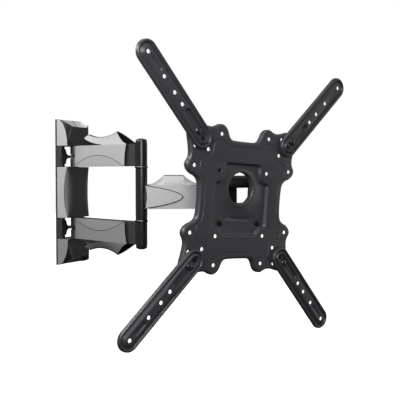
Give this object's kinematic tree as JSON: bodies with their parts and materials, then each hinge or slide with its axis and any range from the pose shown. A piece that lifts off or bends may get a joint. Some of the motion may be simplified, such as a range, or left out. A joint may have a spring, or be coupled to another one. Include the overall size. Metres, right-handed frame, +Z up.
{
  "type": "tv wall mount",
  "caption": "Full motion wall mount for a screen: wall unit, folding arms on upright pivots, swivelling and tilting head, and a pressed plate with pivoting extension arms.",
  "frame": {"origin": "centre of the wall plate's back face, on the wall", "axes": "+Z up, +Y into the wall so that the arms reach out along -Y, +X to the right of someone facing the wall"},
  "size_m": [0.4178, 0.4319, 0.4542],
  "materials": {
    "dark_steel": "satin dark grey paint",
    "black_cast": "satin black powder coat",
    "cover_black": "polished black plastic",
    "post_black": "gloss black paint",
    "cover_silver": "silver-grey painted plastic",
    "powder_black": "fine black powder coat",
    "zinc": "zinc plated",
    "bolt_black": "black oxide",
    "nylon": "black nylon"
  },
  "bodies": {
    "wall": {"wall_plate": "dark_steel", "wall_flange_upper_left": "dark_steel", "wall_flange_upper_right": "dark_steel", "wall_flange_lower_left": "dark_steel", "wall_flange_lower_right": "dark_steel", "pivot_bracket_upper": "black_cast", "pivot_bracket_lower": "black_cast", "wall_pin_upper": "zinc", "wall_pin_lower": "zinc", "wall_washer_upper_top": "nylon", "wall_washer_upper_bottom": "nylon", "wall_washer_lower_top": "nylon", "wall_washer_lower_bottom": "nylon", "wall_cover_top": "cover_black", "wall_cover_middle": "cover_black", "wall_cover_bottom": "cover_black"},
    "rear_arms": {"arm_tube_upper": "dark_steel", "arm_tube_lower": "dark_steel", "arm_cover_upper": "cover_silver", "arm_cover_lower": "cover_silver", "elbow_post_upper": "post_black", "elbow_post_lower": "post_black", "elbow_ring_upper": "zinc", "elbow_ring_lower": "zinc", "elbow_shaft": "zinc"},
    "front_arm": {"elbow_post_middle": "post_black", "front_arm_tube": "dark_steel", "front_arm_cover": "cover_silver", "front_inlay_left": "cover_silver", "front_inlay_right": "cover_silver"},
    "head": {"swivel_fork": "black_cast", "swivel_pin": "bolt_black", "swivel_nut": "bolt_black", "tilt_sleeve": "black_cast", "lock_sleeve": "black_cast", "lock_bolt": "bolt_black", "lock_nut": "bolt_black"},
    "tilt_frame": {"tilt_bracket": "black_cast", "tilt_bolt": "bolt_black", "tilt_nut": "bolt_black"},
    "plate": {"tv_plate": "powder_black", "level_bolt_left": "bolt_black", "level_bolt_right": "bolt_black", "arm_bolt_upper_left": "bolt_black", "arm_bolt_upper_right": "bolt_black", "arm_bolt_lower_left": "bolt_black", "arm_bolt_lower_right": "bolt_black", "arm_nut_upper_left": "zinc", "arm_nut_upper_right": "zinc", "arm_nut_lower_left": "zinc", "arm_nut_lower_right": "zinc"},
    "arm_upper_left": {"extension_arm_upper_left": "powder_black"},
    "arm_upper_right": {"extension_arm_upper_right": "powder_black"},
    "arm_lower_left": {"extension_arm_lower_left": "powder_black"},
    "arm_lower_right": {"extension_arm_lower_right": "powder_black"}
  },
  "joints": [
    {"name": "arm_swing", "type": "hinge", "parent": "wall", "child": "rear_arms", "pos_m": [0, -0.027, 0], "axis": [0, 0, 1], "range_deg": [-60, 90]},
    {"name": "elbow_swing", "type": "hinge", "parent": "rear_arms", "child": "front_arm", "pos_m": [-0.0427, -0.18638, 0], "axis": [0, 0, -1], "range_deg": [-60, 160]},
    {"name": "head_swivel", "type": "hinge", "parent": "front_arm", "child": "head", "pos_m": [0.03548, -0.28646, 0], "axis": [0, 0, 1], "range_deg": [-14, 130]},
    {"name": "head_tilt", "type": "hinge", "parent": "head", "child": "tilt_frame", "pos_m": [0.02559, -0.31158, 0.0195], "axis": [0.9304, -0.3665, 0], "range_deg": [-7.4, 12.6]},
    {"name": "plate_level", "type": "hinge", "parent": "tilt_frame", "child": "plate", "pos_m": [0.01548, -0.33724, 0.00884], "axis": [0.3662, 0.9296, 0.0419], "range_deg": [-7, 1]},
    {"name": "arm_pivot_upper_left", "type": "hinge", "parent": "plate", "child": "arm_upper_left", "pos_m": [-0.07479, -0.30557, 0.09538], "axis": [0.3662, 0.9296, 0.0419], "range_deg": [-30, 30]},
    {"name": "arm_pivot_upper_right", "type": "hinge", "parent": "plate", "child": "arm_upper_right", "pos_m": [0.1112, -0.37837, 0.08492], "axis": [0.3662, 0.9296, 0.0419], "range_deg": [-30, 30]},
    {"name": "arm_pivot_lower_left", "type": "hinge", "parent": "plate", "child": "arm_lower_left", "pos_m": [-0.08147, -0.29396, -0.10417], "axis": [0.3662, 0.9296, 0.0419], "range_deg": [-30, 30]},
    {"name": "arm_pivot_lower_right", "type": "hinge", "parent": "plate", "child": "arm_lower_right", "pos_m": [0.10452, -0.36675, -0.11463], "axis": [0.3662, 0.9296, 0.0419], "range_deg": [-30, 30]}
  ]
}
